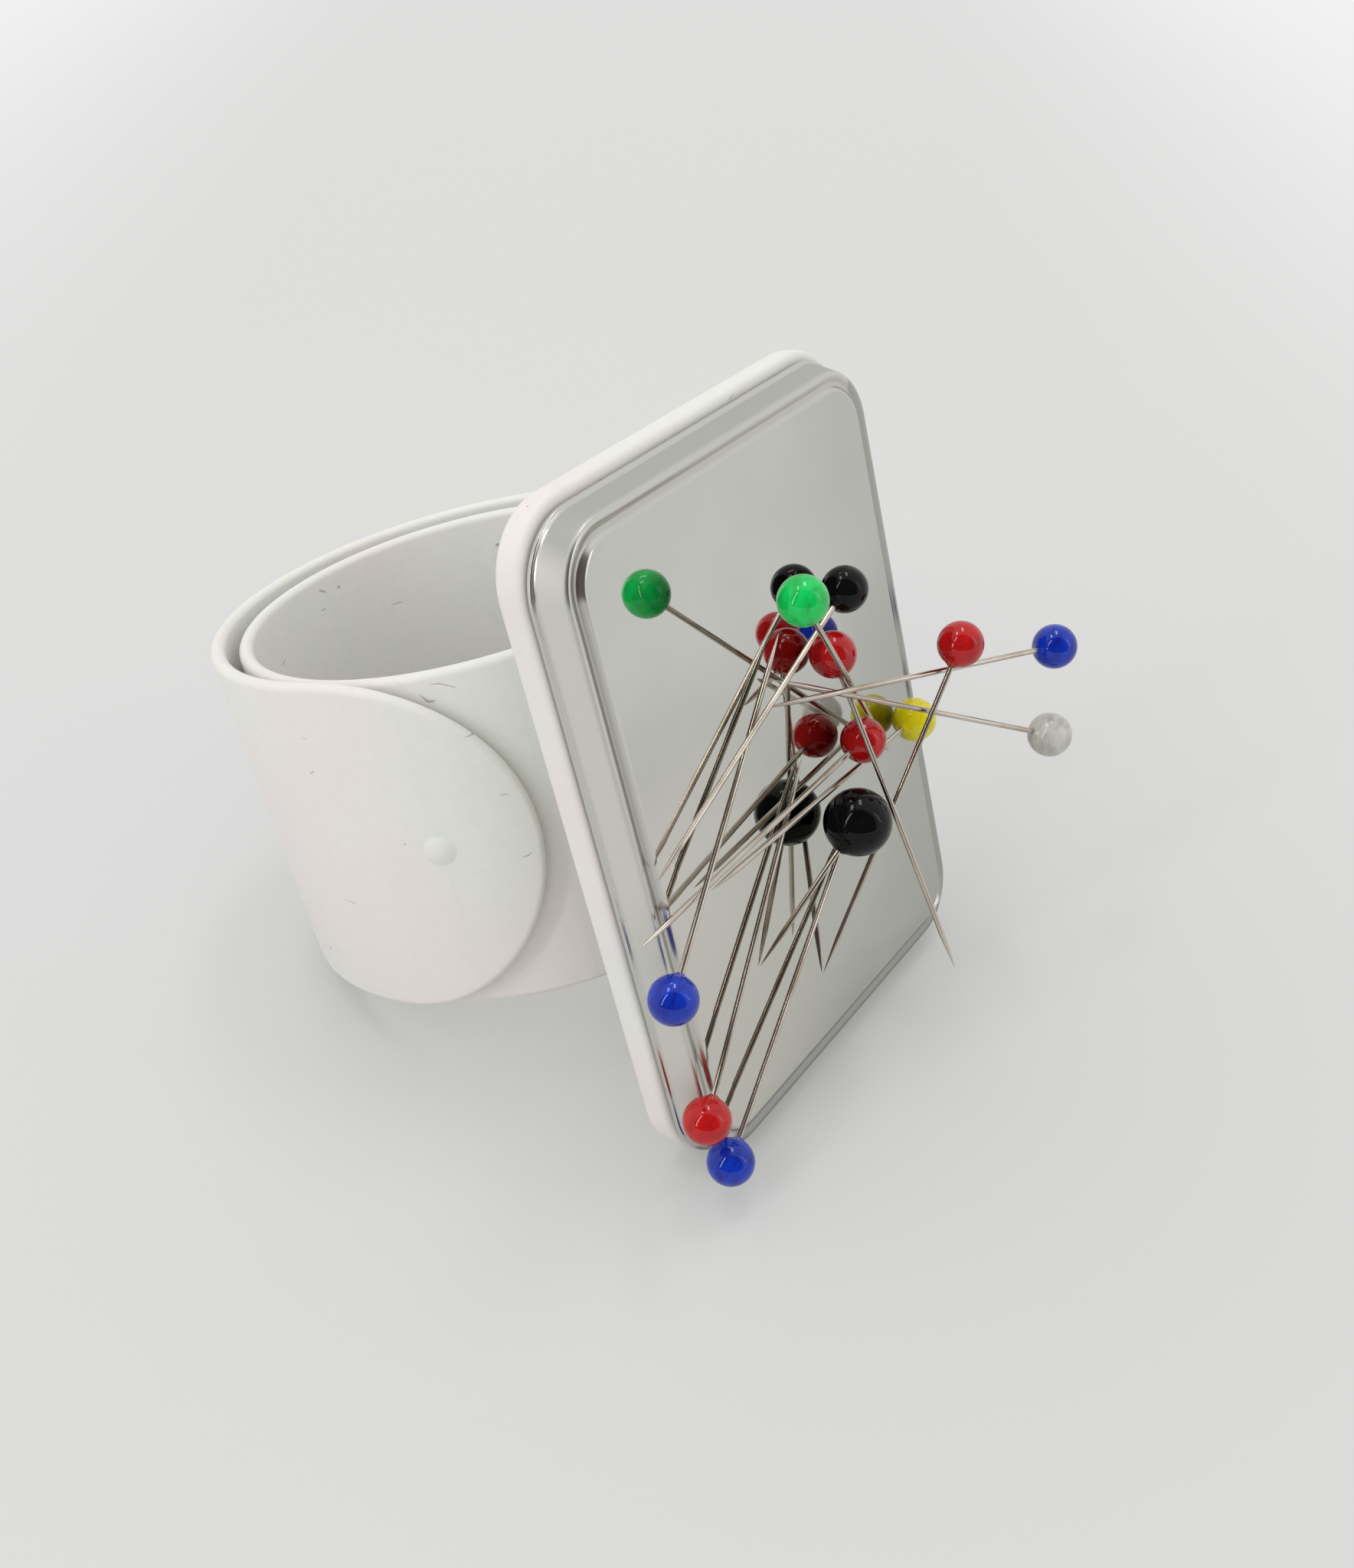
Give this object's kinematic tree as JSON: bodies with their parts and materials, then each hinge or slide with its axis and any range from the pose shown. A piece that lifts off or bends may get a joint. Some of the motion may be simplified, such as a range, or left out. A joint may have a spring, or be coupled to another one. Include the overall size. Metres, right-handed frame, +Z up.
{
  "type": "magnetic wrist pin cushion",
  "caption": "Magnetic pin cushion: a steel plate in a silicone tray on a snap band coiled for the wrist, with ball head sewing pins lying on the plate.",
  "frame": {"origin": "middle of the bounding box in x and y, on the surface that the cushion stands on", "axes": "+Z up; -Y the way the pin plate faces, tilted a little up; +X to the right seen from the plate's side"},
  "size_m": [0.06, 0.083, 0.0648],
  "materials": {
    "plate_steel": "satin mirror",
    "band_silicone": "soft satin silicone",
    "snap_steel": "rolled spring steel",
    "magnet_ferrite": "matt ferrite",
    "pad_adhesive": "foam adhesive",
    "pin_nickel": "nickel plated",
    "bead_green": "gloss",
    "bead_black": "gloss",
    "bead_red": "gloss",
    "bead_yellow": "gloss",
    "bead_blue": "gloss",
    "bead_pearl": "pearlescent"
  },
  "bodies": {
    "root": {"pin_plate": "plate_steel", "adhesive_pad": "pad_adhesive", "magnet": "magnet_ferrite", "silicone_tray": "band_silicone", "mount_strip": "snap_steel"},
    "outer_link_1": {"outer_sleeve_1": "band_silicone", "outer_strip_1": "snap_steel"},
    "outer_link_2": {"outer_sleeve_2": "band_silicone", "outer_strip_2": "snap_steel"},
    "outer_link_3": {"outer_sleeve_3": "band_silicone", "outer_strip_3": "snap_steel"},
    "outer_link_4": {"outer_sleeve_4": "band_silicone", "outer_strip_4": "snap_steel"},
    "outer_link_5": {"outer_sleeve_5": "band_silicone", "outer_strip_5": "snap_steel"},
    "outer_link_6": {"outer_sleeve_6": "band_silicone", "outer_strip_6": "snap_steel"},
    "outer_link_7": {"outer_sleeve_7": "band_silicone", "outer_strip_7": "snap_steel"},
    "inner_link_1": {"inner_sleeve_1": "band_silicone", "inner_strip_1": "snap_steel"},
    "inner_link_2": {"inner_sleeve_2": "band_silicone", "inner_strip_2": "snap_steel"},
    "inner_link_3": {"inner_sleeve_3": "band_silicone", "inner_strip_3": "snap_steel"},
    "inner_link_4": {"inner_sleeve_4": "band_silicone", "inner_strip_4": "snap_steel"},
    "inner_link_5": {"inner_sleeve_5": "band_silicone", "inner_strip_5": "snap_steel"},
    "inner_link_6": {"inner_sleeve_6": "band_silicone", "inner_strip_6": "snap_steel"},
    "inner_link_7": {"inner_sleeve_7": "band_silicone", "inner_strip_7": "snap_steel"},
    "green_pin": {"green_pin_shaft": "pin_nickel", "green_pin_bead": "bead_green"},
    "black_pin": {"black_pin_shaft": "pin_nickel", "black_pin_bead": "bead_black"},
    "crossing_red_pin": {"crossing_red_pin_shaft": "pin_nickel", "crossing_red_pin_bead": "bead_red"},
    "lower_red_pin": {"lower_red_pin_shaft": "pin_nickel", "lower_red_pin_bead": "bead_red"},
    "yellow_pin": {"yellow_pin_shaft": "pin_nickel", "yellow_pin_bead": "bead_yellow"},
    "map_pin": {"map_pin_shaft": "pin_nickel", "map_pin_bead": "bead_black"},
    "standing_red_pin": {"standing_red_pin_shaft": "pin_nickel", "standing_red_pin_bead": "bead_red"},
    "upper_blue_pin": {"upper_blue_pin_shaft": "pin_nickel", "upper_blue_pin_bead": "bead_blue"},
    "pearl_pin": {"pearl_pin_shaft": "pin_nickel", "pearl_pin_bead": "bead_pearl"},
    "left_blue_pin": {"left_blue_pin_shaft": "pin_nickel", "left_blue_pin_bead": "bead_blue"},
    "left_red_pin": {"left_red_pin_shaft": "pin_nickel", "left_red_pin_bead": "bead_red"},
    "low_blue_pin": {"low_blue_pin_shaft": "pin_nickel", "low_blue_pin_bead": "bead_blue"}
  },
  "joints": [
    {"name": "outer_hinge_1", "type": "hinge", "parent": "root", "child": "outer_link_1", "pos_m": [0.00722, -0.011, 0.0299], "axis": [0, -0.2692, -0.9631], "range_deg": [0, 40.18]},
    {"name": "outer_hinge_2", "type": "hinge", "parent": "outer_link_1", "child": "outer_link_2", "pos_m": [0.02147, 0.00058, 0.02683], "axis": [0, -0.2692, -0.9631], "range_deg": [0, 45.35]},
    {"name": "outer_hinge_3", "type": "hinge", "parent": "outer_link_2", "child": "outer_link_3", "pos_m": [0.02296, 0.01855, 0.02198], "axis": [0, -0.2692, -0.9631], "range_deg": [0, 43.12]},
    {"name": "outer_hinge_4", "type": "hinge", "parent": "outer_link_3", "child": "outer_link_4", "pos_m": [0.0113, 0.03268, 0.01819], "axis": [0, -0.2692, -0.9631], "range_deg": [0, 41.94]},
    {"name": "outer_hinge_5", "type": "hinge", "parent": "outer_link_4", "child": "outer_link_5", "pos_m": [-0.00717, 0.0357, 0.01752], "axis": [0, -0.2692, -0.9631], "range_deg": [0, 41.65]},
    {"name": "outer_hinge_6", "type": "hinge", "parent": "outer_link_5", "child": "outer_link_6", "pos_m": [-0.02301, 0.02614, 0.02036], "axis": [0, -0.2692, -0.9631], "range_deg": [0, 42.23]},
    {"name": "outer_hinge_7", "type": "hinge", "parent": "outer_link_6", "child": "outer_link_7", "pos_m": [-0.02803, 0.00883, 0.02536], "axis": [0, -0.2692, -0.9631], "range_deg": [0, 43.74]},
    {"name": "inner_hinge_1", "type": "hinge", "parent": "root", "child": "inner_link_1", "pos_m": [-0.00861, -0.01104, 0.02986], "axis": [0, 0.2692, 0.9631], "range_deg": [0, 39.06]},
    {"name": "inner_hinge_2", "type": "hinge", "parent": "inner_link_1", "child": "inner_link_2", "pos_m": [-0.02307, 0.00028, 0.02676], "axis": [0, 0.2692, 0.9631], "range_deg": [0, 46.87]},
    {"name": "inner_hinge_3", "type": "hinge", "parent": "inner_link_2", "child": "inner_link_3", "pos_m": [-0.0244, 0.01816, 0.02181], "axis": [0, 0.2692, 0.9631], "range_deg": [0, 47.42]},
    {"name": "inner_hinge_4", "type": "hinge", "parent": "inner_link_3", "child": "inner_link_4", "pos_m": [-0.01164, 0.03121, 0.01822], "axis": [0, 0.2692, 0.9631], "range_deg": [0, 48.09]},
    {"name": "inner_hinge_5", "type": "hinge", "parent": "inner_link_4", "child": "inner_link_5", "pos_m": [0.00693, 0.03079, 0.0184], "axis": [0, 0.2692, 0.9631], "range_deg": [0, 48.9]},
    {"name": "inner_hinge_6", "type": "hinge", "parent": "inner_link_5", "child": "inner_link_6", "pos_m": [0.01879, 0.01706, 0.02229], "axis": [0, 0.2692, 0.9631], "range_deg": [0, 49.84]},
    {"name": "inner_hinge_7", "type": "hinge", "parent": "inner_link_6", "child": "inner_link_7", "pos_m": [0.01554, -0.0005, 0.02725], "axis": [0, 0.2692, 0.9631], "range_deg": [0, 50.94]},
    {"name": "green_pin_lift", "type": "slide", "parent": "root", "child": "green_pin", "axis": [-0.6075, -0.024, 0.794], "range_m": [0, 0.025]},
    {"name": "black_pin_lift", "type": "slide", "parent": "root", "child": "black_pin", "axis": [0.9307, 0.0401, 0.3636], "range_m": [0, 0.025]},
    {"name": "crossing_red_pin_spin", "type": "hinge", "parent": "root", "child": "crossing_red_pin", "pos_m": [0.00551, -0.0236, 0.04192], "axis": [-0.0051, 0.4589, 0.8885], "continuous": true},
    {"name": "lower_red_pin_spin", "type": "hinge", "parent": "root", "child": "lower_red_pin", "pos_m": [0.00758, -0.02653, 0.032], "axis": [0.9966, -0.0486, 0.066], "continuous": true},
    {"name": "yellow_pin_lift", "type": "slide", "parent": "root", "child": "yellow_pin", "axis": [0.9988, -0.0481, -0.0101], "range_m": [0, 0.025]},
    {"name": "map_pin_lift", "type": "slide", "parent": "root", "child": "map_pin", "axis": [-0.1908, -0.9454, 0.2643], "range_m": [0, 0.025]},
    {"name": "standing_red_pin_lift", "type": "slide", "parent": "root", "child": "standing_red_pin", "axis": [0.5228, -0.0713, 0.8495], "range_m": [0, 0.025]},
    {"name": "upper_blue_pin_lift", "type": "slide", "parent": "root", "child": "upper_blue_pin", "axis": [0.902, -0.4144, -0.1211], "range_m": [0, 0.025]},
    {"name": "pearl_pin_lift", "type": "slide", "parent": "root", "child": "pearl_pin", "axis": [0.7657, -0.4978, -0.4073], "range_m": [0, 0.025]},
    {"name": "left_blue_pin_lift", "type": "slide", "parent": "root", "child": "left_blue_pin", "axis": [-0.7933, -0.2154, -0.5695], "range_m": [0, 0.025]},
    {"name": "left_red_pin_lift", "type": "slide", "parent": "root", "child": "left_red_pin", "axis": [-0.7578, -0.2057, -0.6193], "range_m": [0, 0.012]},
    {"name": "low_blue_pin_lift", "type": "slide", "parent": "root", "child": "low_blue_pin", "axis": [-0.6463, -0.7623, 0.0333], "range_m": [0, 0.025]}
  ],
  "couplings": [
    {"joint": "outer_hinge_2", "follows": "outer_hinge_1", "ratio": 1.1284},
    {"joint": "outer_hinge_3", "follows": "outer_hinge_1", "ratio": 1.0728},
    {"joint": "outer_hinge_4", "follows": "outer_hinge_1", "ratio": 1.0434},
    {"joint": "outer_hinge_5", "follows": "outer_hinge_1", "ratio": 1.0363},
    {"joint": "outer_hinge_6", "follows": "outer_hinge_1", "ratio": 1.0506},
    {"joint": "outer_hinge_7", "follows": "outer_hinge_1", "ratio": 1.0881},
    {"joint": "inner_hinge_1", "follows": "outer_hinge_1", "ratio": 0.9717},
    {"joint": "inner_hinge_2", "follows": "outer_hinge_1", "ratio": 1.1661},
    {"joint": "inner_hinge_3", "follows": "outer_hinge_1", "ratio": 1.1798},
    {"joint": "inner_hinge_4", "follows": "outer_hinge_1", "ratio": 1.1966},
    {"joint": "inner_hinge_5", "follows": "outer_hinge_1", "ratio": 1.2165},
    {"joint": "inner_hinge_6", "follows": "outer_hinge_1", "ratio": 1.24},
    {"joint": "inner_hinge_7", "follows": "outer_hinge_1", "ratio": 1.2674}
  ]
}
